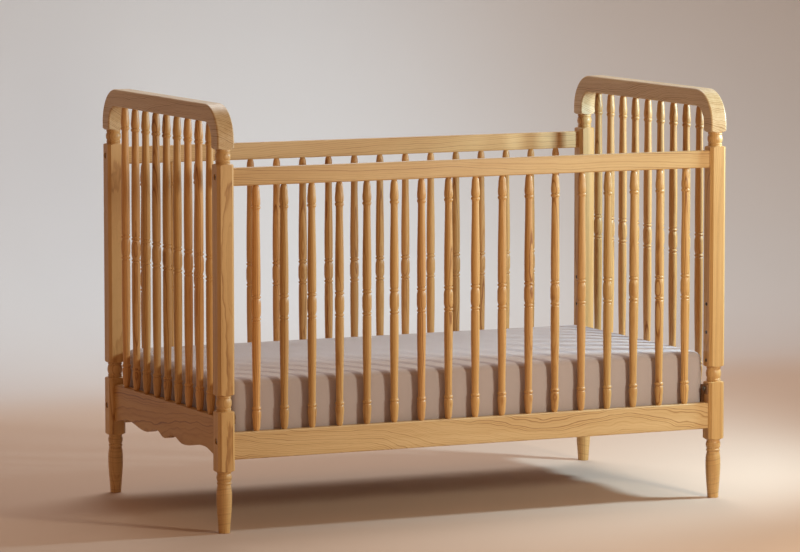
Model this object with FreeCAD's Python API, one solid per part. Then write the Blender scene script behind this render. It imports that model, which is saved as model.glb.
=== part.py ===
import FreeCAD, Part
import math
import os

# Baby crib with turned posts, arched end rails and turned spindles.
# Millimetres. X runs along the length, -Y is the front, +Z is up, the floor is Z = 0,
# and the origin is the middle of the footprint.

V = FreeCAD.Vector
UP = V(0, 0, 1)

# ---- posts -------------------------------------------------------------------------
POST_X = 677.5              # post centre to middle, along the length
POST_Y = 365.0              # post centre to middle, across the width
POST_SIZE = 44.0            # square section of the post blocks
POST_CHAMFER = 7.0          # chamfer along every block edge
LOWER_BLOCK = (152.0, 300.0)
LONG_BLOCK = (339.0, 903.0)
NECK_TOP = 939.0            # where the arched rail sits down on the post
SHOULDER_HEIGHT = 4.0       # turned bevel at each block end
SHOULDER_RADIUS = 22.0      # its radius at the end plane
BLOCK_CORNER_RADIUS = 30.0  # reaches past the corners of posts and arched rails
RING_MARGIN = 5.0           # how far the turning tool reaches past the corners
FOOT_RADIUS = 14.0
FOOT_SWELL_RADIUS = 19.2
NECK_RADIUS = 19.5
NECK_OVERLAP = 2.0          # how far a turned part runs into the block beside it
POST_TENON = (9.0, 24.0)    # radius and length of the tenon up into the arched rail
TENON_CLEARANCE = 0.1

# ---- arched end rails --------------------------------------------------------------
ARCH_TOP = 1046.0
ARCH_OUTER_RADIUS = 88.0
ARCH_EDGE = 4.0             # rounding along the arched rail's four edges

# ---- straight rails ----------------------------------------------------------------
RAIL_THICKNESS = 20.0
RAIL_EDGE_RADIUS = 3.0
LONG_EDGE_SHARE = 0.9       # an edge this share of the rail's length is one of its long edges
SIDE_RAIL_Y = 367.5         # middle of the front and back rails
TOP_RAIL = (849.0, 893.0)
BOTTOM_RAIL = (180.0, 247.0)
END_RAIL_TOP = 283.0
END_RAIL_EDGE = 2.0
SCALLOP_LOW = 188.0
SCALLOP_HIGH = 201.5
SCALLOP_STATIONS = (55.0, 127.0, 258.0)   # first crest, lobe and second crest from the middle
SCALLOP_HANDLE = 0.45       # how full each half wave of the scallop is

# ---- spindles ----------------------------------------------------------------------
SIDE_SPINDLES = 17
SIDE_PITCH = 74.0
END_SPINDLES = 9
END_PITCH = 70.6
SPINDLE_TENON_RADIUS = 6.2
SPINDLE_TENON = 12.0
SPINDLE_HOLE_DEPTH = 13.0
SPINDLE_CLEARANCE = 0.05    # radial room round a spindle's tenon

# ---- fasteners ---------------------------------------------------------------------
BOLT_RADIUS = 3.0
BOLT_HOLE_RADIUS = 3.4
BOLT_HEAD = (5.6, 5.5)      # radius and height
BOLT_SOCKET = (2.4, 3.0)    # hexagon socket: corner radius and depth
COUNTERBORE = (7.8, 8.5)    # radius and depth in the post's outer face
BOLT_REACH = 42.0           # how far the bolt runs into the rail
TOP_BOLT_Z = 872.0
BOTTOM_BOLT_Z = 227.0
BARREL_RADIUS = 5.0
BARREL_LENGTH = 16.0
BARREL_DISTANCE = 34.0      # barrel nut from the rail's end
DOWEL = (4.0, 15.0)         # radius and half length
TOP_DOWEL_Z = 857.5
BOTTOM_DOWEL_Z = 198.0
END_DOWEL_Z = (216.0, 258.0)
HOLE_EXTRA = 0.1            # radial room round dowels, inserts and barrel nuts
DOWEL_HOLE_EXTRA = 0.5      # spare depth of a dowel hole in a post
END_HOLE_EXTRA = 1.5        # spare depth of a dowel hole in a rail's end
THREAD_CLEARANCE = 0.05     # radial room round a bolt in its nut or insert

# ---- mattress support and its four heights -----------------------------------------
LEVELS = 4
LEVEL_LOW = 282.5
LEVEL_STEP = 72.3
INSERT = (5.0, 12.0)        # threaded insert: outer radius and length
TUBE = 20.0
TUBE_WALL = 1.5
SUPPORT_X = 651.9           # outer end of the support frame
SUPPORT_Y = 345.0           # outer side of the support frame
TUBE_TOP = 224.0
SLAT = (30.0, 4.0)          # width and thickness
SLATS = 12
SLAT_PITCH = 108.0
BRACKET_THICKNESS = 3.0
BRACKET_FOOT_Y = 312.0
BRACKET_ARM = (345.0, 356.0)
BRACKET_HOOK = (268.0, 292.0)
BRACKET_TIP_Y = 377.0
SLOT_RADIUS = 3.3
SUPPORT_BOLT_HEAD = (5.5, 3.8)
SUPPORT_BOLT_SOCKET = (2.0, 2.2)
HEAD_GAP = 0.5

# ---- mattress ----------------------------------------------------------------------
MATTRESS = (1308.0, 696.0, 150.0)
MATTRESS_CORNER = 45.0
MATTRESS_EDGE = 25.0
MATTRESS_BOTTOM = TUBE_TOP + SLAT[1]


def turned(steps, base=0.0):
    """Solid turned about Z from an outline of (radius, height) steps, closed along the axis.

    A step is a point, ("arc", middle, end) or ("curve", point, point, ...)."""
    def at(point):
        return V(point[0], 0, base + point[1])

    here = steps[0]
    edges = [Part.LineSegment(V(0, 0, base + here[1]), at(here)).toShape()]
    for step in steps[1:]:
        if step[0] == "arc":
            edges.append(Part.Arc(at(here), at(step[1]), at(step[2])).toShape())
            here = step[2]
        elif step[0] == "curve":
            spline = Part.BSplineCurve()
            spline.interpolate([at(here)] + [at(p) for p in step[1:]])
            edges.append(spline.toShape())
            here = step[-1]
        else:
            edges.append(Part.LineSegment(at(here), at(step)).toShape())
            here = step
    edges.append(Part.LineSegment(at(here), V(0, 0, base + here[1])).toShape())
    edges.append(Part.LineSegment(V(0, 0, base + here[1]), V(0, 0, base + steps[0][1])).toShape())
    return Part.Face(Part.Wire(edges)).revolve(V(0, 0, 0), UP, 360)


def rod(radius, start, direction, length):
    """Round bar from a start point."""
    return Part.makeCylinder(radius, length, start, direction)


def box(low, high):
    """Box between two corners."""
    return Part.makeBox(high[0] - low[0], high[1] - low[1], high[2] - low[2], V(*low))


def octagon(size, chamfer, z):
    """Face of a square with chamfered corners, at height z."""
    half = size / 2
    flat = half - chamfer
    corners = [(half, -flat), (half, flat), (flat, half), (-flat, half),
               (-half, flat), (-half, -flat), (-flat, -half), (flat, -half)]
    points = [V(x, y, z) for x, y in corners]
    return Part.Face(Part.makePolygon(points + points[:1]))


def shoulder_ring(z, direction):
    """What a turned shoulder takes off a block's end at height z; direction points into the block."""
    cone = turned([(SHOULDER_RADIUS, 0), (BLOCK_CORNER_RADIUS, SHOULDER_HEIGHT)])
    ring = Part.makeCylinder(BLOCK_CORNER_RADIUS + RING_MARGIN, SHOULDER_HEIGHT).cut(cone)
    if direction < 0:
        ring = ring.mirror(V(0, 0, 0), UP)
    ring.translate(V(0, 0, z))
    return ring


def block(low, high):
    """Chamfered square block with turned shoulders at both ends."""
    prism = octagon(POST_SIZE, POST_CHAMFER, low).extrude(V(0, 0, high - low))
    return prism.cut(shoulder_ring(low, 1)).cut(shoulder_ring(high, -1))


def foot():
    """Turned leg from the floor up to the lower block."""
    top = LOWER_BLOCK[0]
    return turned([
        (FOOT_RADIUS - 1, 0),
        ("arc", (FOOT_RADIUS - 0.3, 0.3), (FOOT_RADIUS, 1)),
        ("curve", (17.0, 42), (FOOT_SWELL_RADIUS, 86), (18.4, 106), (16.4, 118)),
        (16.4, 120),
        ("arc", (18.2, 123), (16.6, 126)),
        (16.4, 127.5),
        ("arc", (18.8, 137), (16.6, 146.5)),
        ("arc", (17.2, 148), (18.6, top)),
        (18.6, top + NECK_OVERLAP),
    ])


def neck(low, high):
    """Turned neck between two blocks: ring, barrel bead and fillet."""
    height = high - low
    return turned([
        (17.8, -NECK_OVERLAP),
        (17.8, 2.5),
        (16.8, 3.5),
        ("arc", (18.3, 5.5), (16.8, 7.5)),
        (16.8, 8.5),
        ("arc", (NECK_RADIUS, height * 0.5), (17.2, height - 8)),
        (16.6, height - 7),
        (17.8, height - 6),
        ("arc", (18.3, height - 4.5), (17.8, height - 3)),
        (17.8, height + NECK_OVERLAP),
    ], low)


def post():
    """Corner post standing on the floor at the origin, with its tenon on top."""
    body = foot()
    body = body.fuse(block(*LOWER_BLOCK))
    body = body.fuse(neck(LOWER_BLOCK[1], LONG_BLOCK[0]))
    body = body.fuse(block(*LONG_BLOCK))
    above = rod(BLOCK_CORNER_RADIUS, V(0, 0, NECK_TOP), UP, NECK_OVERLAP)
    body = body.fuse(neck(LONG_BLOCK[1], NECK_TOP).cut(above))
    radius, length = POST_TENON
    return body.fuse(rod(radius, V(0, 0, LONG_BLOCK[1]), UP, NECK_TOP - LONG_BLOCK[1] + length))


def bolt_heights():
    """Heights of the bolts that hold the front and back rails."""
    return TOP_BOLT_Z, BOTTOM_BOLT_Z


def insert_heights():
    """Heights of the inserts for the mattress support."""
    return [LEVEL_LOW + LEVEL_STEP * level for level in range(LEVELS)]


def drilled_post(side_x, side_y):
    """Post in its corner, drilled for bolts, dowels and inserts."""
    half = POST_SIZE / 2
    x, y = side_x * POST_X, side_y * POST_Y
    solid = post()
    solid.translate(V(x, y, 0))
    inward = V(-side_x, 0, 0)
    outer, inner = x + side_x * half, x - side_x * half
    rail_y = side_y * SIDE_RAIL_Y
    for z in bolt_heights():
        start = V(outer + side_x, rail_y, z)
        solid = solid.cut(rod(COUNTERBORE[0], start, inward, COUNTERBORE[1] + 1))
        solid = solid.cut(rod(BOLT_HOLE_RADIUS, start, inward, POST_SIZE + 2))
    dowel_hole = DOWEL[0] + HOLE_EXTRA
    for z in (TOP_DOWEL_Z, BOTTOM_DOWEL_Z):
        face = V(inner, rail_y, z)
        solid = solid.cut(rod(dowel_hole, face, V(side_x, 0, 0), DOWEL[1] + DOWEL_HOLE_EXTRA))
    for z in END_DOWEL_Z:
        face = V(x, y - side_y * half, z)
        solid = solid.cut(rod(dowel_hole, face, V(0, side_y, 0), DOWEL[1] + DOWEL_HOLE_EXTRA))
    for z in insert_heights():
        start = V(inner, y, z)
        solid = solid.cut(rod(INSERT[0] + HOLE_EXTRA, start, V(side_x, 0, 0), INSERT[1] + 3))
    return solid


def rounded_square(size, radius, z):
    """Wire of a square with rounded corners, at height z."""
    half = size / 2
    flat = half - radius
    bulge = flat + radius * math.sin(math.radians(45))
    edges = []
    for turn in range(4):
        def at(x, y):
            for _ in range(turn):
                x, y = -y, x
            return V(x, y, z)

        edges.append(Part.LineSegment(at(half, -flat), at(half, flat)).toShape())
        edges.append(Part.Arc(at(half, flat), at(bulge, bulge), at(flat, half)).toShape())
    return Part.Wire(edges)


def arched_rail(side_x):
    """Arched end rail: a square section with rounded edges bent over from post to post."""
    half = POST_SIZE / 2
    radius = ARCH_OUTER_RADIUS - half
    top = ARCH_TOP - half
    spring = ARCH_TOP - ARCH_OUTER_RADIUS
    bend = radius * math.sin(math.radians(45))
    crown = POST_Y - radius

    def corner(sign):
        centre_y = sign * crown
        halfway = V(0, centre_y + sign * bend, spring + bend)
        return [V(0, sign * POST_Y, spring), halfway, V(0, centre_y, top)]

    front, back = corner(-1), corner(1)
    path = Part.Wire([
        Part.LineSegment(V(0, -POST_Y, NECK_TOP), front[0]).toShape(),
        Part.Arc(*front).toShape(),
        Part.LineSegment(front[2], back[2]).toShape(),
        Part.Arc(*reversed(back)).toShape(),
        Part.LineSegment(back[0], V(0, POST_Y, NECK_TOP)).toShape(),
    ])
    section = rounded_square(POST_SIZE, ARCH_EDGE, NECK_TOP)
    section.translate(V(0, -POST_Y, 0))
    rail = path.makePipeShell([section], True, False)
    if rail.Volume < 0:
        rail.reverse()
    for sign in (-1, 1):
        ring = shoulder_ring(NECK_TOP, 1)
        ring.translate(V(0, sign * POST_Y, 0))
        rail = rail.cut(ring)
        foot_point = V(0, sign * POST_Y, NECK_TOP)
        rail = rail.cut(rod(POST_TENON[0] + TENON_CLEARANCE, foot_point, UP, POST_TENON[1] + 1))
    for y in end_stations():
        rail = rail.cut(spindle_hole(V(0, y, top - half - 1)))
    rail.translate(V(side_x * POST_X, 0, 0))
    return rail


def spindle_hole(start):
    """Round hole for a spindle's tenon, from a point 1 mm outside or at its floor, going up."""
    return rod(SPINDLE_TENON_RADIUS + SPINDLE_CLEARANCE, start, UP, SPINDLE_HOLE_DEPTH + 1)


def side_stations():
    """Spindle positions along the front and back."""
    return [SIDE_PITCH * (i - (SIDE_SPINDLES - 1) / 2) for i in range(SIDE_SPINDLES)]


def end_stations():
    """Spindle positions across an end."""
    return [END_PITCH * (i - (END_SPINDLES - 1) / 2) for i in range(END_SPINDLES)]


def eased(solid, radius, direction):
    """Round the long edges that run along a direction ("x" or "y")."""
    long_edges = []
    for edge in solid.Edges:
        span = edge.BoundBox.XLength if direction == "x" else edge.BoundBox.YLength
        if span > LONG_EDGE_SHARE * max(solid.BoundBox.XLength, solid.BoundBox.YLength):
            long_edges.append(edge)
    return solid.makeFillet(radius, long_edges)


def side_rail(side_y, heights, bolt_z, dowel_z, spindle_face):
    """Straight rail between two posts; spindle_face is +1 when the spindles enter from above."""
    inner = POST_X - POST_SIZE / 2
    y = side_y * SIDE_RAIL_Y
    half = RAIL_THICKNESS / 2
    plank = box((-inner, y - half, heights[0]), (inner, y + half, heights[1]))
    rail = eased(plank, RAIL_EDGE_RADIUS, "x")
    for x in side_stations():
        if spindle_face > 0:
            start = V(x, y, heights[1] - SPINDLE_HOLE_DEPTH)
        else:
            start = V(x, y, heights[0] - 1)
        rail = rail.cut(spindle_hole(start))
    for side_x in (-1, 1):
        inward = V(-side_x, 0, 0)
        end = V(side_x * (inner + 1), y, bolt_z)
        rail = rail.cut(rod(BOLT_HOLE_RADIUS, end, inward, BOLT_REACH + 4))
        end = V(side_x * (inner + 1), y, dowel_z)
        rail = rail.cut(rod(DOWEL[0] + HOLE_EXTRA, end, inward, DOWEL[1] + END_HOLE_EXTRA))
        below = V(side_x * (inner - BARREL_DISTANCE), y, heights[0] - 1)
        pocket_top = bolt_z + BARREL_LENGTH / 2
        rail = rail.cut(rod(BARREL_RADIUS + HOLE_EXTRA, below, UP, pocket_top - below.z))
    return rail


def scallop_edge(x):
    """Scalloped lower edge of an end rail, from the front post to the back one, as edges."""
    reach = POST_Y - POST_SIZE / 2
    crest, lobe, outer_crest = SCALLOP_STATIONS
    half = [(0.0, SCALLOP_LOW), (crest, SCALLOP_HIGH), (lobe, SCALLOP_LOW),
            (outer_crest, SCALLOP_HIGH), (reach, SCALLOP_LOW)]
    turns = [(-y, z) for y, z in reversed(half[1:])] + half
    edges = []
    for (y0, z0), (y1, z1) in zip(turns, turns[1:]):
        handle = SCALLOP_HANDLE * (y1 - y0)
        curve = Part.BezierCurve()
        curve.setPoles([V(x, y0, z0), V(x, y0 + handle, z0), V(x, y1 - handle, z1), V(x, y1, z1)])
        edges.append(curve.toShape())
    return edges


def end_rail(side_x):
    """End rail with a scalloped lower edge."""
    reach = POST_Y - POST_SIZE / 2
    x = side_x * POST_X - RAIL_THICKNESS / 2
    outline = scallop_edge(x)
    outline.append(Part.LineSegment(V(x, reach, SCALLOP_LOW), V(x, reach, END_RAIL_TOP)).toShape())
    outline.append(Part.LineSegment(V(x, reach, END_RAIL_TOP), V(x, -reach, END_RAIL_TOP)).toShape())
    outline.append(Part.LineSegment(V(x, -reach, END_RAIL_TOP), V(x, -reach, SCALLOP_LOW)).toShape())
    rail = Part.Face(Part.Wire(outline)).extrude(V(RAIL_THICKNESS, 0, 0))
    rail = eased(rail, END_RAIL_EDGE, "y")
    middle = side_x * POST_X
    for y in end_stations():
        rail = rail.cut(spindle_hole(V(middle, y, END_RAIL_TOP - SPINDLE_HOLE_DEPTH)))
    for sign in (-1, 1):
        for z in END_DOWEL_Z:
            start = V(middle, sign * (reach + 1), z)
            rail = rail.cut(rod(DOWEL[0] + HOLE_EXTRA, start, V(0, -sign, 0), DOWEL[1] + END_HOLE_EXTRA))
    return rail


def mirrored(outline, length):
    """The steps of an outline turned end for end, without its last point."""
    def across(point):
        return (point[0], length - point[1])

    steps = []
    for index in range(len(outline) - 1, 0, -1):
        step, before = outline[index], outline[index - 1]
        end = before if before[0] not in ("arc", "curve") else before[-1]
        if step[0] in ("arc", "curve"):
            between = [across(point) for point in reversed(step[1:-1])]
            steps.append((step[0], *between, across(end)))
        else:
            steps.append(across(end))
    return steps


def spindle(low, high):
    """Turned spindle on the Z axis, seen from low to high, with a tenon at each end."""
    length = high - low
    middle = length / 2
    half_outline = [
        (SPINDLE_TENON_RADIUS, -SPINDLE_TENON),
        (SPINDLE_TENON_RADIUS, 0),
        ("curve", (8.0, 5), (9.9, 24), (11.1, 39), (10.5, 48)),
        (9.2, 50.5),
        ("arc", (11.3, 55), (9.3, 59.5)),
        (9.0, 62),
        ("curve", (9.4, 105), (10.2, 150), (11.0, middle - 80), (10.7, middle - 34)),
        (9.3, middle - 32),
        (9.3, middle - 30.5),
        ("arc", (11.5, middle - 27), (9.3, middle - 23.5)),
        (9.3, middle - 22.5),
    ]
    steps = list(half_outline)
    swell = [(10.7, middle - 18), (11.6, middle), (10.7, middle + 18), (9.3, middle + 22.5)]
    steps.append(("curve", *swell))
    steps += mirrored(half_outline, length)
    return turned(steps, low)


def placed(solid, x, y, z=0.0):
    """Copy of a solid moved to a place."""
    copy = solid.copy()
    copy.translate(V(x, y, z))
    return copy


def corners():
    """The four corners as (side_x, side_y)."""
    return [(side_x, side_y) for side_y in (-1, 1) for side_x in (-1, 1)]


def connector_bolt(side_x):
    """Hexagon-socket bolt lying along X; the underside of its head is at the origin."""
    radius, height = BOLT_HEAD
    grip = POST_SIZE - COUNTERBORE[1]
    bolt = rod(BOLT_RADIUS, V(0, 0, 0), UP, grip + BOLT_REACH)
    bolt = bolt.fuse(rod(radius, V(0, 0, 0), V(0, 0, -1), height))
    bolt = bolt.cut(hex_socket(*BOLT_SOCKET, -height))
    bolt.rotate(V(0, 0, 0), V(0, 1, 0), -90 * side_x)
    return bolt


def hex_socket(corner_radius, depth, z):
    """Hexagon prism going up from height z."""
    points = []
    for i in range(6):
        angle = math.radians(60 * i)
        points.append(V(corner_radius * math.cos(angle), corner_radius * math.sin(angle), z))
    return Part.Face(Part.makePolygon(points + points[:1])).extrude(V(0, 0, depth))


def barrel_nut():
    """Upright cross dowel for a connector bolt, let in from under the rail and centred on the bolt."""
    nut = rod(BARREL_RADIUS, V(0, 0, -BARREL_LENGTH / 2), UP, BARREL_LENGTH)
    reach = BARREL_RADIUS + 1
    return nut.cut(rod(BOLT_RADIUS + THREAD_CLEARANCE, V(-reach, 0, 0), V(1, 0, 0), 2 * reach))


def bolts_and_nuts():
    """All connector bolts and their barrel nuts."""
    bolts, nuts = [], []
    head_x = POST_X + POST_SIZE / 2 - COUNTERBORE[1]
    nut_x = POST_X - POST_SIZE / 2 - BARREL_DISTANCE
    for side_x, side_y in corners():
        for z in bolt_heights():
            bolts.append(placed(connector_bolt(side_x), side_x * head_x, side_y * SIDE_RAIL_Y, z))
            nuts.append(placed(barrel_nut(), side_x * nut_x, side_y * SIDE_RAIL_Y, z))
    return bolts, nuts


def dowels():
    """Wooden dowels between rails and posts."""
    pins = []
    radius, reach = DOWEL
    inner_x = POST_X - POST_SIZE / 2
    inner_y = POST_Y - POST_SIZE / 2
    for side_x, side_y in corners():
        for z in (TOP_DOWEL_Z, BOTTOM_DOWEL_Z):
            start = V(side_x * inner_x - reach, side_y * SIDE_RAIL_Y, z)
            pins.append(rod(radius, start, V(1, 0, 0), 2 * reach))
        for z in END_DOWEL_Z:
            start = V(side_x * POST_X, side_y * inner_y - reach, z)
            pins.append(rod(radius, start, V(0, 1, 0), 2 * reach))
    return pins


def inserts():
    """Threaded inserts in the posts' inner faces, one for each height of the support."""
    sleeves = []
    radius, length = INSERT
    inner = POST_X - POST_SIZE / 2
    for side_x, side_y in corners():
        for z in insert_heights():
            start = V(side_x * inner, side_y * POST_Y, z)
            outward = V(side_x, 0, 0)
            bore = rod(BOLT_RADIUS + THREAD_CLEARANCE, start, outward, length)
            sleeves.append(rod(radius, start, outward, length).cut(bore))
    return sleeves


def support_bolts():
    """Bolts the support's brackets hang on, in the lowest inserts."""
    bolts = []
    radius, height = SUPPORT_BOLT_HEAD
    under_head = SUPPORT_X - HEAD_GAP
    inner = POST_X - POST_SIZE / 2
    for side_x, side_y in corners():
        bolt = rod(BOLT_RADIUS, V(0, 0, 0), UP, inner + INSERT[1] - under_head)
        bolt = bolt.fuse(rod(radius, V(0, 0, 0), V(0, 0, -1), height))
        bolt = bolt.cut(hex_socket(*SUPPORT_BOLT_SOCKET, -height))
        bolt.rotate(V(0, 0, 0), V(0, 1, 0), 90 * side_x)
        bolts.append(placed(bolt, side_x * under_head, side_y * POST_Y, LEVEL_LOW))
    return bolts


def tube(low, high, axis):
    """Square tube between two corners, open along its axis (0 for X, 1 for Y)."""
    inner_low = [c + TUBE_WALL for c in low]
    inner_high = [c - TUBE_WALL for c in high]
    inner_low[axis] = low[axis] - 1
    inner_high[axis] = high[axis] + 1
    return box(low, high).cut(box(inner_low, inner_high))


def support_side_tubes():
    """Long tubes of the mattress support."""
    bottom = TUBE_TOP - TUBE
    tubes = []
    for side_y in (-1, 1):
        edges = sorted((side_y * SUPPORT_Y, side_y * (SUPPORT_Y - TUBE)))
        tubes.append(tube((-SUPPORT_X, edges[0], bottom), (SUPPORT_X, edges[1], TUBE_TOP), 0))
    return tubes


def support_end_tubes():
    """Short tubes of the mattress support, between the long ones."""
    bottom = TUBE_TOP - TUBE
    reach = SUPPORT_Y - TUBE
    tubes = []
    for side_x in (-1, 1):
        edges = sorted((side_x * SUPPORT_X, side_x * (SUPPORT_X - TUBE)))
        tubes.append(tube((edges[0], -reach, bottom), (edges[1], reach, TUBE_TOP), 1))
    return tubes


def support_slats():
    """Flat slats across the support, lying on the long tubes."""
    width, thickness = SLAT
    slats = []
    for i in range(SLATS):
        x = SLAT_PITCH * (i - (SLATS - 1) / 2)
        low = (x - width / 2, -SUPPORT_Y, TUBE_TOP)
        high = (x + width / 2, SUPPORT_Y, TUBE_TOP + thickness)
        slats.append(box(low, high))
    return slats


def hook_bracket():
    """Corner bracket for the +X +Y corner: a plate with a hook whose slot is open downwards."""
    arm_in, arm_out = BRACKET_ARM
    hook_low, hook_high = BRACKET_HOOK
    bottom = TUBE_TOP - TUBE
    slot_in, slot_out = POST_Y - SLOT_RADIUS, POST_Y + SLOT_RADIUS
    slot_top = V(SUPPORT_X, POST_Y, LEVEL_LOW + SLOT_RADIUS)

    def at(y, z):
        return V(SUPPORT_X, y, z)

    run = [
        (slot_out, LEVEL_LOW),
        (slot_out, hook_low),
        (BRACKET_TIP_Y, hook_low),
        (BRACKET_TIP_Y, hook_high),
        (arm_in, hook_high),
        (arm_in, TUBE_TOP),
        (BRACKET_FOOT_Y, TUBE_TOP),
        (BRACKET_FOOT_Y, bottom),
        (arm_out, bottom),
        (arm_out, hook_low),
        (slot_in, hook_low),
        (slot_in, LEVEL_LOW),
    ]
    edges = [Part.LineSegment(at(*a), at(*b)).toShape() for a, b in zip(run, run[1:])]
    edges.append(Part.Arc(at(slot_in, LEVEL_LOW), slot_top, at(slot_out, LEVEL_LOW)).toShape())
    return Part.Face(Part.Wire(edges)).extrude(V(BRACKET_THICKNESS, 0, 0))


def support_brackets():
    """The four corner brackets."""
    plates = []
    for side_x, side_y in corners():
        plate = hook_bracket()
        if side_x < 0:
            plate = plate.mirror(V(0, 0, 0), V(1, 0, 0))
        if side_y < 0:
            plate = plate.mirror(V(0, 0, 0), V(0, 1, 0))
        plates.append(plate)
    return plates


def mattress():
    """Mattress: a slab with round corners and soft edges."""
    length, width, height = MATTRESS
    low = (-length / 2, -width / 2, MATTRESS_BOTTOM)
    high = (length / 2, width / 2, MATTRESS_BOTTOM + height)
    slab = box(low, high)
    upright = [e for e in slab.Edges if e.BoundBox.ZLength > height - 1]
    slab = slab.makeFillet(MATTRESS_CORNER, upright)
    rims = [e for e in slab.Edges if e.BoundBox.ZLength < 0.01]
    return slab.makeFillet(MATTRESS_EDGE, rims)


def save(name, solids):
    """Write one node as STEP."""
    shape = solids[0] if len(solids) == 1 else Part.makeCompound(solids)
    if not shape.isValid():
        raise ValueError("invalid shape: " + name)
    shape.exportStep("parts/" + name + ".step")


os.makedirs("parts", exist_ok=True)

for side_x, side_y in corners():
    name = "post_" + ("front" if side_y < 0 else "back") + ("_left" if side_x < 0 else "_right")
    save(name, [drilled_post(side_x, side_y)])

for side_x, side in ((-1, "left"), (1, "right")):
    save("arched_rail_" + side, [arched_rail(side_x)])
    save("end_rail_" + side, [end_rail(side_x)])
    end_spindle = spindle(END_RAIL_TOP, ARCH_TOP - POST_SIZE)
    save("spindles_" + side, [placed(end_spindle, side_x * POST_X, y) for y in end_stations()])

side_spindle = spindle(BOTTOM_RAIL[1], TOP_RAIL[0])
for side_y, side in ((-1, "front"), (1, "back")):
    save("top_rail_" + side, [side_rail(side_y, TOP_RAIL, TOP_BOLT_Z, TOP_DOWEL_Z, -1)])
    save("bottom_rail_" + side, [side_rail(side_y, BOTTOM_RAIL, BOTTOM_BOLT_Z, BOTTOM_DOWEL_Z, 1)])
    for number, x in enumerate(side_stations(), 1):
        save("spindle_%s_%02d" % (side, number), [placed(side_spindle, x, side_y * SIDE_RAIL_Y)])

connector_bolts, barrel_nuts = bolts_and_nuts()
save("connector_bolts", connector_bolts)
save("barrel_nuts", barrel_nuts)
save("rail_dowels", dowels())
save("support_inserts", inserts())
save("support_bolts", support_bolts())
save("support_side_tubes", support_side_tubes())
save("support_end_tubes", support_end_tubes())
save("support_slats", support_slats())
save("support_brackets", support_brackets())
save("mattress", [mattress()])
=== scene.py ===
"""Looks of the baby crib: wood, fittings, mattress and fitted sheet, floor, light and camera."""

import math

import bmesh
import bpy
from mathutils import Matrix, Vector, noise


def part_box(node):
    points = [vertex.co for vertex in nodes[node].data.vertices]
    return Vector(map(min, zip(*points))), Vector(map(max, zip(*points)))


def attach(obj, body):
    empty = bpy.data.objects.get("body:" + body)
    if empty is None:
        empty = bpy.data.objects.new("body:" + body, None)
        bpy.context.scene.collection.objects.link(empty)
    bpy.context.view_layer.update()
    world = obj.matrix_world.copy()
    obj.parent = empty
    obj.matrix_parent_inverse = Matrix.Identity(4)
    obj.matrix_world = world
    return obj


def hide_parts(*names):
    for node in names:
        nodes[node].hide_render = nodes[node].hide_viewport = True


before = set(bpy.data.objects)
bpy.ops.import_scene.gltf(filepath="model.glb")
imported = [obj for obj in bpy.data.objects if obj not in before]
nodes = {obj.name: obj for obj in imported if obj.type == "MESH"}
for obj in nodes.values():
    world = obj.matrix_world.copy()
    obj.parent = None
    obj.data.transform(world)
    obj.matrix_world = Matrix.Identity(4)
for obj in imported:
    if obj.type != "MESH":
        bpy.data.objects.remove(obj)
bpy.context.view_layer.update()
scene = bpy.context.scene


# ---------------------------------------------------------------- node helpers


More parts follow.
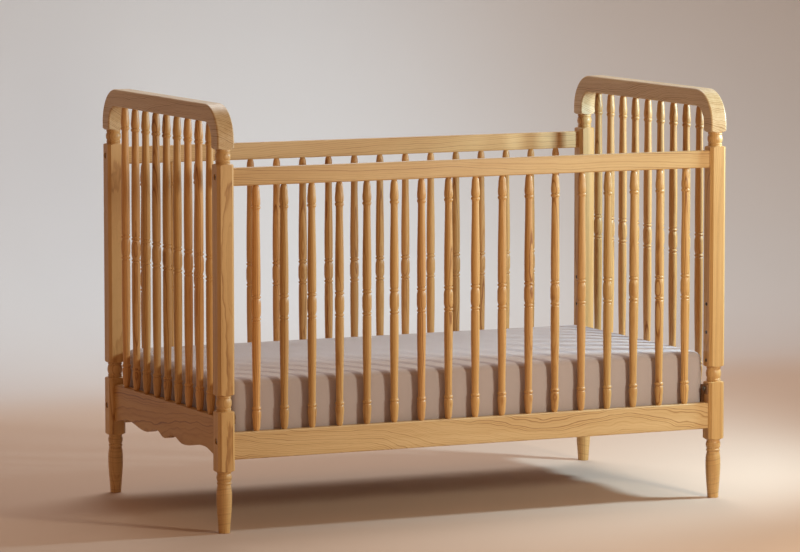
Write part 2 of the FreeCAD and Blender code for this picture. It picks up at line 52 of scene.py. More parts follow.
class Nodes:
    """A new material with one Principled shader, and short ways of adding nodes to it."""

    def __init__(self, name):
        self.material = bpy.data.materials.new(name)
        self.material.use_nodes = True
        self.tree = self.material.node_tree
        self.tree.nodes.clear()
        self.output = self.tree.nodes.new("ShaderNodeOutputMaterial")
        self.shader = self.tree.nodes.new("ShaderNodeBsdfPrincipled")
        self.link(self.shader.outputs[0], self.output.inputs[0])

    def link(self, source, target):
        self.tree.links.new(source, target)

    def put(self, socket, value):
        """Links value to socket if it's an output, and sets it if it's a number or a colour."""
        if isinstance(value, bpy.types.NodeSocket):
            self.link(value, socket)
        else:
            socket.default_value = value

    def object_point(self):
        return self.tree.nodes.new("ShaderNodeTexCoord").outputs["Object"]

    def math(self, operation, a, b=0.0, c=0.0, clamp=False):
        node = self.tree.nodes.new("ShaderNodeMath")
        node.operation = operation
        node.use_clamp = clamp
        for socket, value in zip(node.inputs, (a, b, c)):
            self.put(socket, value)
        return node.outputs[0]

    def vector(self, operation, a, b=(0, 0, 0), scale=1.0):
        node = self.tree.nodes.new("ShaderNodeVectorMath")
        node.operation = operation
        self.put(node.inputs[0], a)
        self.put(node.inputs[1], b)
        if operation == "SCALE":
            self.put(node.inputs["Scale"], scale)
        return node.outputs["Value" if operation in ("LENGTH", "DOT_PRODUCT") else "Vector"]

    def split(self, vector):
        node = self.tree.nodes.new("ShaderNodeSeparateXYZ")
        self.link(vector, node.inputs[0])
        return node.outputs[0], node.outputs[1], node.outputs[2]

    def join(self, x, y, z):
        node = self.tree.nodes.new("ShaderNodeCombineXYZ")
        for socket, value in zip(node.inputs, (x, y, z)):
            self.put(socket, value)
        return node.outputs[0]

    def noise(self, vector, scale=1.0, detail=2.0, rough=0.5, colour=False):
        node = self.tree.nodes.new("ShaderNodeTexNoise")
        self.link(vector, node.inputs["Vector"])
        node.inputs["Scale"].default_value = scale
        node.inputs["Detail"].default_value = detail
        node.inputs["Roughness"].default_value = rough
        return node.outputs["Color" if colour else "Fac"]

    def white(self, vector):
        node = self.tree.nodes.new("ShaderNodeTexWhiteNoise")
        node.noise_dimensions = "3D"
        self.link(vector, node.inputs["Vector"])
        return node.outputs["Color"]

    def ramp(self, value, stops):
        """A colour ramp: stops are (position, colour) pairs; a colour may be one grey number."""
        node = self.tree.nodes.new("ShaderNodeValToRGB")
        self.link(value, node.inputs[0])
        elements = node.color_ramp.elements
        while len(elements) < len(stops):
            elements.new(0.5)
        for element, (position, colour) in zip(elements, stops):
            element.position = position
            grey = isinstance(colour, (int, float))
            element.color = (colour, colour, colour, 1) if grey else (*colour, 1)
        return node.outputs["Color"]

    def smooth(self, value, low, high, out_low=0.0, out_high=1.0):
        node = self.tree.nodes.new("ShaderNodeMapRange")
        node.interpolation_type = "SMOOTHSTEP"
        self.link(value, node.inputs["Value"])
        numbers = (("From Min", low), ("From Max", high), ("To Min", out_low), ("To Max", out_high))
        for name, number in numbers:
            node.inputs[name].default_value = number
        return node.outputs["Result"]

    def mix(self, factor, a, b, blend="MIX"):
        node = self.tree.nodes.new("ShaderNodeMix")
        node.data_type = "RGBA"
        node.blend_type = blend
        self.put(node.inputs["Factor"], factor)
        for name, value in (("A", a), ("B", b)):
            socket = next(s for s in node.inputs if s.name == name and s.type == "RGBA")
            if isinstance(value, tuple):
                value = (*value, 1.0)
            self.put(socket, value)
        return next(s for s in node.outputs if s.type == "RGBA")

    def tint(self, colour, tone):
        """colour made lighter or darker by the number tone."""
        return self.mix(1.0, colour, self.join(tone, tone, tone), "MULTIPLY")

    def bump(self, height, strength, distance):
        node = self.tree.nodes.new("ShaderNodeBump")
        node.inputs["Strength"].default_value = strength
        node.inputs["Distance"].default_value = distance
        self.link(height, node.inputs["Height"])
        self.link(node.outputs[0], self.shader.inputs["Normal"])

    def set(self, **sockets):
        """Sets or links the shader's own sockets, with _ for each space in their names."""
        for name, value in sockets.items():
            self.put(self.shader.inputs[name.replace("_", " ")], value)


# ---------------------------------------------------------------- wood

# from the palest early wood to the darkest late wood
WOOD_LIGHT = (0.670, 0.440, 0.205)
WOOD_MID = (0.555, 0.322, 0.125)
WOOD_DARK = (0.320, 0.145, 0.046)
# each kind of piece's own tint; the arches' and the end rails' tints also carry painted light and
# shade
TOP_TONE = (0.98, 0.96, 0.90)
BOTTOM_TONE = (1.06, 1.12, 1.22)
POST_TONE = (1.02, 0.96, 0.83)
# the arches' tint is partly their own and partly painted light: paler and cooler, as if lit from
# above
ARCH_TONE_AND_PAINTED_LIGHT = (1.06, 1.19, 1.46)
# the end rails' tint is partly their own and partly painted shade: darker and redder, as if lit by
# warm light bounced up from the floor
END_RAIL_TONE_AND_PAINTED_SHADE = (0.82, 0.67, 0.41)
SPINDLE_TONE = (1.00, 0.88, 0.71)

# noise in the wood: how fine it is across the grain and along it, in cells for each metre
BEND = (4.0, 1.8)
CURL = (16.0, 13.0)
CLOUD = (11.0, 3.5)
BAND = (70.0, 1.3)
RIPPLE = (150.0, 20.0)
STREAK = (650.0, 9.0)
PORE = (1300.0, 45.0)

RIPPLE_SIZE = 0.0022        # metres by which the ripple moves a ring
YEAR_SCALE = 55.0           # how quickly wide years turn to narrow ones, outwards from the pith
YEAR_SPREAD = 2.4           # rings by which wide and narrow years move the count
RING_PROFILE = [(0.0, 0.45), (0.12, 0.0), (0.55, 0.10), (0.88, 0.80), (1.0, 0.45)]
STRONG_RING, WEAK_RING = 0.9, 0.15
STRONG_YEARS = (0.36, 0.64)
STREAK_SHARE, BAND_SHARE, CLOUD_SHARE = 0.40, 0.75, 0.55
DEPTH_FLOOR = 0.10
PORE_EDGES = (0.58, 0.72)
PORE_SHARE = 0.30

SPINDLE_PITCH_X = 0.074
SPINDLE_PITCH_Y = 0.0706
SPINDLE_LOG_SPREAD = 0.16
SPINDLE_CUT_SPREAD = 9.0
SPINDLE_SHADE_SPREAD = 0.24
SPINDLE_RED_SPREAD = 0.10

LATHE_MARKS = 210.0         # marks of the lathe's tool for each metre of height
LATHE_EDGES = (0.42, 0.70)
LATHE_BLEND = 0.008
LATHE_SHARE = 0.45

WOOD_ROUGHNESS = 0.40
LACQUER = {"Coat_Weight": 0.18, "Coat_Roughness": 0.30, "Coat_IOR": 1.5, "IOR": 1.45}
WOOD_RELIEF, WOOD_RELIEF_HEIGHT = 0.30, 0.00022

HALF = (0.5, 0.5, 0.5)


def wood(name, grain, pith, ring=0.0042, tilt=(0.02, 0.01), wave=0.03, curl=0.004, seed=0.0,
         tone=(1.0, 1.0, 1.0), figure=1.0, each_spindle=False, turned_below=0.0):
    """Lacquered wood cut from a log whose pith runs along the grain axis, beside the piece.

    pith is the log's centre in the two cross axes, ring the distance between growth rings and tilt
    how much the log leans against the piece. wave bends the rings slowly and curl quickly, both in
    metres. seed is how far along the log the piece was cut, and figure how strongly its rings show.
    Lathe marks cross the grain under the height turned_below.
    """
    n = Nodes(name)
    x, y, z = n.split(n.object_point())
    u, v, w = {"x": (y, z, x), "y": (x, z, y), "z": (x, y, z)}[grain]
    if each_spindle:
        cell_x = n.math("ROUND", n.math("DIVIDE", x, SPINDLE_PITCH_X))
        cell_y = n.math("ROUND", n.math("DIVIDE", y, SPINDLE_PITCH_Y))
        own = n.white(n.join(cell_x, cell_y, 0.0))
        own_u, own_v, own_w = n.split(n.vector("SUBTRACT", own, HALF))
        # measured from the spindle's own centre, with a log centre drawn for each
        u = n.math("SUBTRACT", u, n.math("MULTIPLY", cell_x, SPINDLE_PITCH_X))
        v = n.math("SUBTRACT", v, n.math("MULTIPLY", cell_y, SPINDLE_PITCH_Y))
        u = n.math("MULTIPLY_ADD", own_u, SPINDLE_LOG_SPREAD, u)
        v = n.math("MULTIPLY_ADD", own_v, SPINDLE_LOG_SPREAD, v)
        w = n.math("MULTIPLY_ADD", own_w, SPINDLE_CUT_SPREAD, w)
    along = n.math("ADD", w, seed)

    def stretched(fineness, detail, rough=0.5, colour=False):
        """Noise drawn out along the grain."""
        across, lengthwise = fineness
        point = n.join(
            n.math("MULTIPLY", u, across),
            n.math("MULTIPLY", v, across),
            n.math("MULTIPLY", along, lengthwise),
        )
        return n.noise(point, detail=detail, rough=rough, colour=colour)

    bend_u, bend_v, _ = n.split(n.vector("SUBTRACT", stretched(BEND, 1.0, colour=True), HALF))
    curl_u, curl_v, _ = n.split(n.vector("SUBTRACT", stretched(CURL, 1.5, colour=True), HALF))

    def centred(value, share, base):
        """base raised and lowered by a noise value's distance from its middle."""
        return n.math("MULTIPLY_ADD", n.math("SUBTRACT", value, 0.5), share, base)

    # how far the point is from the pith, in the two cross axes
    from_pith = []
    for place, centre, lean, bend, small in (
        (u, pith[0], tilt[0], bend_u, curl_u),
        (v, pith[1], tilt[1], bend_v, curl_v),
    ):
        place = n.math("SUBTRACT", place, centre)
        place = n.math("MULTIPLY_ADD", along, lean, place)
        place = n.math("MULTIPLY_ADD", bend, 2.0 * wave, place)
        from_pith.append(n.math("MULTIPLY_ADD", small, 2.0 * curl, place))
    radius = n.vector("LENGTH", n.join(from_pith[0], from_pith[1], 0.0))
    radius = centred(stretched(RIPPLE, 2.0), RIPPLE_SIZE, radius)

    # rings are wide in some years and narrow in others; each turns slowly dark and sharply pale
    years = n.noise(n.join(radius, 0.0, 0.0), scale=YEAR_SCALE, detail=0.0)
    phase = n.math("MULTIPLY_ADD", years, YEAR_SPREAD, n.math("DIVIDE", radius, ring))
    late = n.ramp(n.math("FRACT", phase), RING_PROFILE)
    strong_year = n.noise(n.join(n.math("FLOOR", phase), 0.0, 0.0), scale=2.7, detail=0.0)
    strong_year = n.smooth(strong_year, *STRONG_YEARS)
    streak = stretched(STREAK, 2.5, 0.6)
    pore = n.smooth(stretched(PORE, 1.0), *PORE_EDGES)
    pore = n.math("MULTIPLY", pore, n.math("MULTIPLY_ADD", late, 0.6, 0.4))

    strength = n.math("MULTIPLY_ADD", strong_year, STRONG_RING * figure, WEAK_RING * figure)
    depth = n.math("MULTIPLY", late, strength)
    depth = centred(streak, STREAK_SHARE, depth)
    depth = centred(stretched(BAND, 2.0), BAND_SHARE, depth)
    depth = centred(stretched(CLOUD, 2.0), CLOUD_SHARE, depth)
    depth = n.math("ADD", depth, DEPTH_FLOOR, clamp=True)
    colour = n.ramp(depth, [(0.0, WOOD_LIGHT), (0.5, WOOD_MID), (1.0, WOOD_DARK)])
    colour = n.mix(n.math("MULTIPLY", pore, PORE_SHARE), colour, WOOD_DARK)
    if each_spindle:
        shade = n.math("MULTIPLY_ADD", own_w, SPINDLE_SHADE_SPREAD, 1.0)
        redness = n.math("MULTIPLY_ADD", own_u, SPINDLE_RED_SPREAD, shade)
        colour = n.mix(1.0, colour, n.join(redness, shade, shade), "MULTIPLY")
    if turned_below:
        climb = n.math("MULTIPLY_ADD", radius, 40.0, n.math("MULTIPLY", z, LATHE_MARKS))
        marks = n.smooth(n.noise(n.join(0.0, 0.0, climb), detail=2.0), *LATHE_EDGES)
        foot = n.smooth(z, turned_below, turned_below - LATHE_BLEND)
        marks = n.math("MULTIPLY", marks, foot)
        colour = n.mix(n.math("MULTIPLY", marks, LATHE_SHARE), colour, WOOD_DARK)
    colour = n.mix(1.0, colour, tone, "MULTIPLY")

    rough = n.math("MULTIPLY_ADD", streak, 0.12, WOOD_ROUGHNESS)
    n.set(Base_Color=colour, Roughness=n.math("MULTIPLY_ADD", pore, 0.18, rough), **LACQUER)
    height = n.math("MULTIPLY_ADD", pore, -0.8, n.math("MULTIPLY", streak, 0.5))
    n.bump(n.math("MULTIPLY_ADD", late, -0.25, height), WOOD_RELIEF, WOOD_RELIEF_HEIGHT)
    return n.material


def assign(node_name, material):
    """Gives every face of a CAD node the material."""
    mesh = nodes[node_name].data
    if not mesh.materials:
        mesh.materials.append(material)
    for index in range(len(mesh.materials)):
        mesh.materials[index] = material


FOOT_TOP = 0.152
POST_RING = 0.0036
POST_WAVE = 0.02
POST_CURL = 0.003
POST_FIGURE = 0.9
# each post's log centre, the log's lean and where along the log the post was cut
POSTS = {
    "post_front_left": ((-0.66, -0.46), (0.010, 0.006), 0.3),
    "post_front_right": ((0.78, -0.36), (-0.010, 0.008), 4.1),
    "post_back_left": ((-0.60, 0.44), (0.008, -0.012), 7.7),
    "post_back_right": ((0.66, 0.46), (0.010, 0.010), 11.2),
}
for post_name, (post_pith, post_tilt, post_seed) in POSTS.items():
    post_wood = wood("wood_" + post_name, "z", post_pith, POST_RING, post_tilt, wave=POST_WAVE,
                     curl=POST_CURL, seed=post_seed, tone=POST_TONE, figure=POST_FIGURE,
                     turned_below=FOOT_TOP)
    assign(post_name, post_wood)

RAIL_RING = 0.0048
# log centre, lean, wave, curl, place along the log, figure and tint
RAILS = {
    "top_rail_front": ((-0.39, 0.80), (0.010, 0.030), 0.02, 0.004, 1.0, 0.95, TOP_TONE),
    "bottom_rail_front": ((-0.415, 0.15), (0.030, 0.070), 0.07, 0.011, 3.0, 1.05, BOTTOM_TONE),
    "top_rail_back": ((0.34, 0.93), (0.015, -0.030), 0.03, 0.005, 5.0, 0.95, TOP_TONE),
    "bottom_rail_back": ((0.415, 0.16), (0.030, 0.060), 0.07, 0.011, 9.0, 1.05, BOTTOM_TONE),
}
for rail_name, (pith, tilt, wave, curl, seed, figure, tone) in RAILS.items():
    rail_wood = wood("wood_" + rail_name, "x", pith, RAIL_RING, tilt, wave, curl, seed, tone,
                     figure)
    assign(rail_name, rail_wood)

END_RAIL_X = 0.655
ARCH_X = 0.6775
ARCH_RING = 0.0036
for side, sign in (("left", -1), ("right", 1)):
    end_pith = (sign * END_RAIL_X - 0.08, 0.22)
    # the end rail's tint carries painted shade: darker and redder, as if in warm light bounced up
    # from the floor
    end_wood = wood("wood_end_rail_" + side, "y", end_pith, RAIL_RING, (0.05, 0.03), wave=0.04,
                    curl=0.006, seed=2.0 + sign, tone=END_RAIL_TONE_AND_PAINTED_SHADE, figure=1.1)
    assign("end_rail_" + side, end_wood)
    arch_pith = (sign * ARCH_X - 0.045, 0.88)
    # the arch's tint carries painted light: paler and cooler, as if lit from above
    arch_wood = wood("wood_arch_" + side, "y", arch_pith, ARCH_RING, (0.02, 0.05), wave=0.040,
                     curl=0.008, seed=6.0 + sign, tone=ARCH_TONE_AND_PAINTED_LIGHT)
    assign("arched_rail_" + side, arch_wood)

spindle_wood = wood("wood_spindles", "z", (0.0, 0.0), 0.0040, (0.012, 0.008), wave=0.02, curl=0.003,
                    tone=SPINDLE_TONE, figure=1.15, each_spindle=True)
for node_name in nodes:
    if node_name.startswith("spindle"):
        assign(node_name, spindle_wood)
assign("rail_dowels", wood("wood_dowels", "x", (0.3, 0.3), 0.004, (0.01, 0.01), seed=3.0))


# ---------------------------------------------------------------- metal


def speckled(name, base, metallic, rough, grit, clouds, relief):
    """Metal or paint with fine grit on it and soft clouds in its colour.

    rough is the roughness and how much the grit adds to it, grit the noise's scale and detail,
    clouds the noise's scale, how much it adds and the tone it adds to, and relief the strength
    and height in metres of the grit's bumps.
    """
    n = Nodes(name)
    point = n.object_point()
    grains = n.noise(point, scale=grit[0], detail=grit[1])
    cloud_scale, cloud_share, cloud_floor = clouds
    cloud = n.noise(point, scale=cloud_scale, detail=2.0)
    tone = n.math("ADD", n.math("MULTIPLY", cloud, cloud_share), cloud_floor)
    n.set(Base_Color=n.tint(base, tone), Metallic=metallic)
    n.set(Roughness=n.math("ADD", n.math("MULTIPLY", grains, rough[1]), rough[0]))
    n.bump(grains, *relief)
    return n.material


PLATING = {"grit": (900.0, 3.0), "clouds": (90.0, 0.35, 0.82), "relief": (0.2, 0.0001)}
PAINT = {"grit": (1400.0, 2.0), "clouds": (30.0, 0.3, 0.85), "relief": (0.3, 0.0002)}
zinc = speckled("metal_zinc", (0.62, 0.61, 0.58), 1.0, (0.28, 0.25), **PLATING)
dark_zinc = speckled("metal_dark_zinc", (0.20, 0.17, 0.14), 1.0, (0.38, 0.25), **PLATING)
brown_coat = speckled("metal_brown_coat", (0.235, 0.118, 0.050), 0.0, (0.52, 0.2), **PAINT)
for node_name, material in (
    ("connector_bolts", zinc),
    ("barrel_nuts", zinc),
    ("support_bolts", dark_zinc),
    ("support_inserts", dark_zinc),
    ("support_side_tubes", brown_coat),
    ("support_end_tubes", brown_coat),
    ("support_slats", brown_coat),
    ("support_brackets", brown_coat),
):
    assign(node_name, material)


# ---------------------------------------------------------------- mattress


THREAD_PITCH = 0.0011
WEAVE_SHARE, FUZZ_SHARE, DAPPLE_SHARE, CLOTH_FLOOR = 0.03, 0.10, 0.14, 0.86
CLOTH_RELIEF, CLOTH_RELIEF_HEIGHT = 0.35, 0.0003


def cloth_material(name, base, sheen):
    """Plain-woven cotton with a little fuzz."""
    n = Nodes(name)
    x, y, z = n.split(n.object_point())
    threads = 2 * math.pi / THREAD_PITCH
    weave = n.math(
        "MULTIPLY",
        n.math("SINE", n.math("MULTIPLY", n.math("ADD", x, z), threads)),
        n.math("SINE", n.math("MULTIPLY", n.math("ADD", y, z), threads)),
    )
    fuzz = n.noise(n.object_point(), scale=1600.0, detail=2.0)
    dapple = n.noise(n.object_point(), scale=6.0, detail=3.0)
    tone = n.math("ADD", n.math("MULTIPLY", weave, WEAVE_SHARE), n.math("MULTIPLY", fuzz, FUZZ_SHARE))
    tone = n.math("ADD", n.math("ADD", tone, CLOTH_FLOOR), n.math("MULTIPLY", dapple, DAPPLE_SHARE))
    n.set(Base_Color=n.tint(base, tone), Roughness=0.86, Sheen_Weight=sheen, Sheen_Roughness=0.45,
          Specular_IOR_Level=0.25)
    height = n.math("ADD", n.math("MULTIPLY", weave, 0.5), n.math("MULTIPLY", fuzz, 0.5))
    n.bump(height, CLOTH_RELIEF, CLOTH_RELIEF_HEIGHT)
    return n.material


sheet_cloth = cloth_material("cloth_sheet", (0.525, 0.455, 0.465), 0.25)
pad_cloth = cloth_material("cloth_pad", (0.62, 0.60, 0.57), 0.15)

mattress_low, mattress_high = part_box("mattress")
SWELL_X = 0.0060            # how far the soft ends and sides stand out past the plain slab
SWELL_Y = 0.0030
SIDE_BELLY = 0.0020         # extra roundness of the sides at half height
CORNER_RADIUS = 0.032
TOP_EDGE = 0.020
BOTTOM_EDGE = 0.016
CROWN = 0.004               # the middle of the top above its rim
CROWN_REACH = 0.20
UNDER_SHEET = 0.0028        # the pad's surface below the sheet
SHEET_LIFT = 0.0012         # the sheet's underside above the slats
HEM = 0.090                 # how far the sheet reaches in under the mattress
PAD_BOTTOM = 0.33           # how far the pad's underside is drawn in loops before it is closed
SMALLEST_RADIUS = 0.006
CORNER_STEPS, LENGTH_STEPS, WIDTH_STEPS = 10, 110, 56
TOP_EDGE_STEPS, SIDE_STEPS, BOTTOM_EDGE_STEPS = 10, 14, 8
UNDERSIDE_STEP = 0.012
# distances in from the side of the loops on the top
TOP_INSETS = (0.335, 0.29, 0.24, 0.195, 0.155, 0.12, 0.09, 0.065, 0.048, 0.036, 0.027)


def outline(half_x, half_y, radius):
    """A rounded rectangle as (point, outward direction) pairs, from where its +X side ends."""
    points = []
    centres = (
        (half_x - radius, half_y - radius, 0.0),
        (-half_x + radius, half_y - radius, 0.5 * math.pi),
        (-half_x + radius, -half_y + radius, math.pi),
        (half_x - radius, -half_y + radius, 1.5 * math.pi),
    )
    for index, (cx, cy, start) in enumerate(centres):
        for k in range(CORNER_STEPS + 1):
            angle = start + 0.5 * math.pi * k / CORNER_STEPS
            out = Vector((math.cos(angle), math.sin(angle)))
            points.append((Vector((cx, cy)) + out * radius, out))
        nx, ny, next_start = centres[(index + 1) % 4]
        here, out = points[-1]
        there = Vector((nx, ny)) + Vector((math.cos(next_start), math.sin(next_start))) * radius
        count = LENGTH_STEPS if abs(out.y) > 0.5 else WIDTH_STEPS
        for k in range(1, count):
            points.append((here.lerp(there, k / count), out))
    return points


def slab_profile(low, high, hem):
    """(distance in from the side, height) pairs, from the top over the edge to the hem below."""
    rim = high - CROWN
    profile = []
    for inset in TOP_INSETS:
        rise = min(1.0, (inset - TOP_EDGE) / CROWN_REACH)
        profile.append((inset, rim + CROWN * math.sin(0.5 * math.pi * rise)))
    for k in range(TOP_EDGE_STEPS + 1):
        angle = 0.5 * math.pi * k / TOP_EDGE_STEPS
        profile.append((TOP_EDGE * (1 - math.sin(angle)), rim - TOP_EDGE * (1 - math.cos(angle))))
    side_top, side_bottom = rim - TOP_EDGE, low + BOTTOM_EDGE
    for k in range(1, SIDE_STEPS):
        belly = SIDE_BELLY * math.sin(math.pi * k / SIDE_STEPS)
        profile.append((-belly, side_top + (side_bottom - side_top) * k / SIDE_STEPS))
    for k in range(BOTTOM_EDGE_STEPS + 1):
        angle = 0.5 * math.pi * k / BOTTOM_EDGE_STEPS
        inset = BOTTOM_EDGE * (1 - math.cos(angle))
        profile.append((inset, low + BOTTOM_EDGE * (1 - math.sin(angle))))
    inset = BOTTOM_EDGE
    while inset < hem - 0.001:
        inset = min(inset + UNDERSIDE_STEP, hem)
        profile.append((inset, low))
    return profile


def slab_loops(half_x, half_y, profile):
    """Closed loops of points, one for each step of the profile."""
    loops = []
    for inset, z in profile:
        radius = max(CORNER_RADIUS - inset, SMALLEST_RADIUS)
        ring = outline(half_x - inset, half_y - inset, radius)
        loops.append([(Vector((p.x, p.y, z)), Vector((out.x, out.y, 0.0))) for p, out in ring])
    return loops


def mesh_object(name, loops, closed_below):
    """Skin over the loops, closed on top and, if asked, underneath."""
    mesh = bmesh.new()
    rows = [[mesh.verts.new(point) for point in loop] for loop in loops]
    for a, b in zip(rows, rows[1:]):
        for k in range(len(a)):
            mesh.faces.new((a[k - 1], b[k - 1], b[k], a[k]))
    mesh.faces.new(rows[0])
    if closed_below:
        mesh.faces.new(list(reversed(rows[-1])))
    bmesh.ops.recalc_face_normals(mesh, faces=mesh.faces)
    data = bpy.data.meshes.new(name)
    mesh.to_mesh(data)
    mesh.free()
    for polygon in data.polygons:
        polygon.use_smooth = True
    made = bpy.data.objects.new(name, data)
    scene.collection.objects.link(made)
    return made


BROAD_WAVE, SMALL_WAVE = 0.0011, 0.0005
TUCK_DEPTH = 0.0011
TUCK_TURNS = 9.0
SEAM_DEPTH = 0.0010
SEAM_WIDTH = 0.05
GATHER_HEIGHT = 0.0022
GATHER_PITCH = 0.021


def slack(point, out, row, rows, hem_rows):
    """One point of the cloth moved by its broad waves, corner tucks, seams and hem gathers."""
    broad = BROAD_WAVE * noise.noise(point * 4.0) + SMALL_WAVE * noise.noise(point * 13.0)
    corner = abs(out.x * out.y) * 2.0
    down = max(0.0, min(1.0, (mattress_high.z - point.z) / (mattress_high.z - mattress_low.z)))
    turn = math.atan2(out.y, out.x)
    tuck = TUCK_DEPTH * corner * down * math.sin(TUCK_TURNS * turn + 3.0 * down)
    seam = 0.0
    if point.z < mattress_high.z - CROWN:
        seam = -SEAM_DEPTH * math.exp(-((corner - 1.0) / SEAM_WIDTH) ** 2)
    move = out * (broad + tuck + seam)
    if abs(point.z - mattress_low.z) > 0.03:
        move.z += 0.5 * broad
    hem = max(0.0, (row - (rows - hem_rows)) / hem_rows)
    along = point.x * abs(out.y) + point.y * abs(out.x)
    fold = along * 2 * math.pi / GATHER_PITCH + 2.0 * noise.noise(point * 9.0)
    move.z += GATHER_HEIGHT * hem * (0.5 + 0.5 * math.sin(fold))
    return point + move


half_length = (mattress_high.x - mattress_low.x) / 2 + SWELL_X
half_width = (mattress_high.y - mattress_low.y) / 2 + SWELL_Y

sheet_bottom = mattress_low.z + SHEET_LIFT
pad_profile = slab_profile(sheet_bottom + UNDER_SHEET, mattress_high.z - UNDER_SHEET, PAD_BOTTOM)
pad_loops = slab_loops(half_length - UNDER_SHEET, half_width - UNDER_SHEET, pad_profile)
pad = mesh_object("mattress_pad", [[point for point, _ in loop] for loop in pad_loops], True)
pad.data.materials.append(pad_cloth)
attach(pad, "mattress")
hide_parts("mattress")

sheet_profile = slab_profile(sheet_bottom, mattress_high.z, HEM)
sheet_loops = slab_loops(half_length, half_width, sheet_profile)
hem_top = mattress_low.z + BOTTOM_EDGE
hem_rows = sum(1 for inset, z in sheet_profile if z < hem_top and inset > BOTTOM_EDGE)
sheet_points = []
for row, loop in enumerate(sheet_loops):
    sheet_points.append([slack(point, out, row, len(sheet_loops), hem_rows) for point, out in loop])
sheet = mesh_object("fitted_sheet", sheet_points, False)
sheet.data.materials.append(sheet_cloth)
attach(sheet, "mattress")


# ---------------------------------------------------------------- floor, light, camera


FLOOR_PAPER = (0.65, 0.48, 0.38)
WALL_PAPER = (0.80, 0.81, 0.84)
PAPER_BLEND = (1.6, 3.0)    # the floor's colour turns to the wall's between these places
MOTTLE_SHARE, MOTTLE_FLOOR = 0.04, 0.96
FLOOR_REACH = 70.0          # far past the camera, so that the floor's edges are never in view
WALL_FOOT = 2.2             # where the floor begins to curve up
WALL_BEND = 1.2
WALL_BEND_STEPS = 12
WALL_TOP = 6.0


def backdrop():
    """A pale floor that curves up into a wall far behind the crib."""
    profile = [(-FLOOR_REACH, 0.0), (WALL_FOOT, 0.0)]
    for k in range(1, WALL_BEND_STEPS + 1):
        angle = 0.5 * math.pi * k / WALL_BEND_STEPS
        out, up = WALL_BEND * math.sin(angle), WALL_BEND * (1 - math.cos(angle))
        profile.append((WALL_FOOT + out, up))
    profile.append((WALL_FOOT + WALL_BEND, WALL_TOP))
    mesh = bmesh.new()
    previous = None
    for y, z in profile:
        row = [mesh.verts.new((x, y, z)) for x in (-FLOOR_REACH, FLOOR_REACH)]
        if previous:
            mesh.faces.new((previous[0], previous[1], row[1], row[0]))
        previous = row
    data = bpy.data.meshes.new("backdrop")
    mesh.to_mesh(data)
    mesh.free()
    for polygon in data.polygons:
        polygon.use_smooth = True
    floor = bpy.data.objects.new("backdrop", data)
    scene.collection.objects.link(floor)
    n = Nodes("backdrop_paper")
    point = n.object_point()
    mottle = n.noise(point, scale=2.0, detail=3.0)
    tone = n.math("ADD", n.math("MULTIPLY", mottle, MOTTLE_SHARE), MOTTLE_FLOOR)
    _, back, _ = n.split(point)
    paper = n.mix(n.smooth(back, *PAPER_BLEND), FLOOR_PAPER, WALL_PAPER)
    n.set(Base_Color=n.tint(paper, tone), Roughness=1.0, Specular_IOR_Level=0.0)
    # the paper is clear from behind and from below, so that the crib shows from there too
    clear = n.tree.nodes.new("ShaderNodeBsdfTransparent")
    choice = n.tree.nodes.new("ShaderNodeMixShader")
    n.link(n.tree.nodes.new("ShaderNodeNewGeometry").outputs["Backfacing"], choice.inputs[0])
    n.link(n.shader.outputs[0], choice.inputs[1])
    n.link(clear.outputs[0], choice.inputs[2])
    n.link(choice.outputs[0], n.output.inputs[0])
    data.materials.append(n.material)


backdrop()

LAMP_TARGET = Vector((0.0, -0.1, 0.6))
SOFTBOX_TARGET = Vector((0.0, 0.0, 0.5))


def direction(azimuth, height):
    """Unit vector towards a light: azimuth turns from the crib's front towards its right end."""
    a, h = math.radians(azimuth), math.radians(height)
    return Vector((math.sin(a) * math.cos(h), -math.cos(a) * math.cos(h), math.sin(h)))


def hang(data, place, toward, energy, colour):
    """Puts a lamp at place with its back turned toward a direction, so it shines the other way."""
    data.energy = energy
    data.color = colour
    lamp = bpy.data.objects.new(data.name, data)
    scene.collection.objects.link(lamp)
    lamp.location = place
    lamp.rotation_mode = "QUATERNION"
    lamp.rotation_quaternion = toward.to_track_quat("Z", "Y")


def spot(name, place, radius, energy, colour, target=LAMP_TARGET, cone=130):
    """A round lamp that throws a soft-edged cone of light, cone degrees across, at target."""
    data = bpy.data.lights.new(name, "SPOT")
    data.shadow_soft_size = radius
    data.spot_size = math.radians(cone)
    data.spot_blend = 0.5
    hang(data, place, place - target, energy, colour)


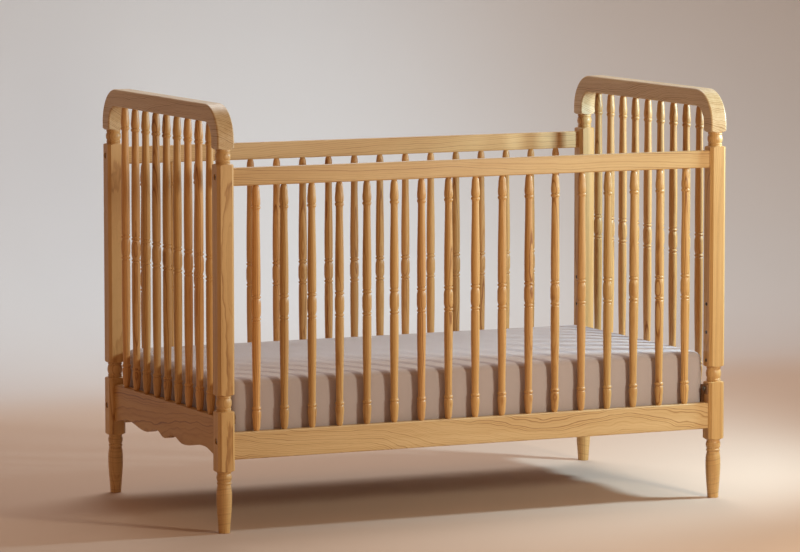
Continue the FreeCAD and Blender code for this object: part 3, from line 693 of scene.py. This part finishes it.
def softbox(name, azimuth, height, distance, size, energy, colour):
    """A big round panel of light, size metres across, that faces the crib from a direction."""
    data = bpy.data.lights.new(name, "AREA")
    data.shape = "DISK"
    data.size = size
    toward = direction(azimuth, height)
    hang(data, SOFTBOX_TARGET + toward * distance, toward, energy, colour)


# the two near lamps give the spindles' shadows, the third lights the floor before the crib
spot("front_right", Vector((0.95, -2.40, 1.10)), radius=0.18, energy=100.0,
     colour=(1.0, 0.96, 0.76))
spot("right_side", Vector((1.59, -0.57, 1.20)), radius=0.11, energy=130.0,
     colour=(0.52, 0.78, 0.92), target=Vector((0.0, 0.6, 0.9)))
spot("front_floor", Vector((2.5, -7.0, 6.5)), radius=0.8, energy=1200.0,
     colour=(0.75, 0.88, 1.0), target=Vector((2.5, -7.0, 0.0)), cone=88)
softbox("overhead", azimuth=155, height=54, distance=4.5, size=3.0, energy=112.0,
        colour=(0.90, 0.98, 1.0))

FILL_COLOUR = (1.0, 0.58, 0.34)
FILL_STRENGTH = 0.29
world = bpy.data.worlds.new("studio")
scene.world = world
world.use_nodes = True
background = world.node_tree.nodes["Background"]
background.inputs["Color"].default_value = (*FILL_COLOUR, 1.0)
background.inputs["Strength"].default_value = FILL_STRENGTH

# matched to the photograph's view of the crib; turn and dip are in radians
CAMERA_PLACE = Vector((-4.9098, -10.5692, 1.7896))
CAMERA_TURN = 0.4365
CAMERA_DIP = -0.1018
CAMERA_LENS = 205.85
CAMERA_SHIFT_X, CAMERA_SHIFT_Y = -0.0256, -0.0163
camera_data = bpy.data.cameras.new("camera")
camera_data.sensor_width = 36.0
camera_data.lens = CAMERA_LENS
camera_data.shift_x = CAMERA_SHIFT_X
camera_data.shift_y = CAMERA_SHIFT_Y
camera_data.clip_end = 100.0
camera = bpy.data.objects.new("camera", camera_data)
scene.collection.objects.link(camera)
level = math.cos(CAMERA_DIP)
look = Vector((math.sin(CAMERA_TURN) * level, math.cos(CAMERA_TURN) * level,
               math.sin(CAMERA_DIP)))
camera.location = CAMERA_PLACE
camera.rotation_mode = "QUATERNION"
camera.rotation_quaternion = look.to_track_quat("-Z", "Y")
scene.camera = camera
scene.view_settings.view_transform = "Standard"
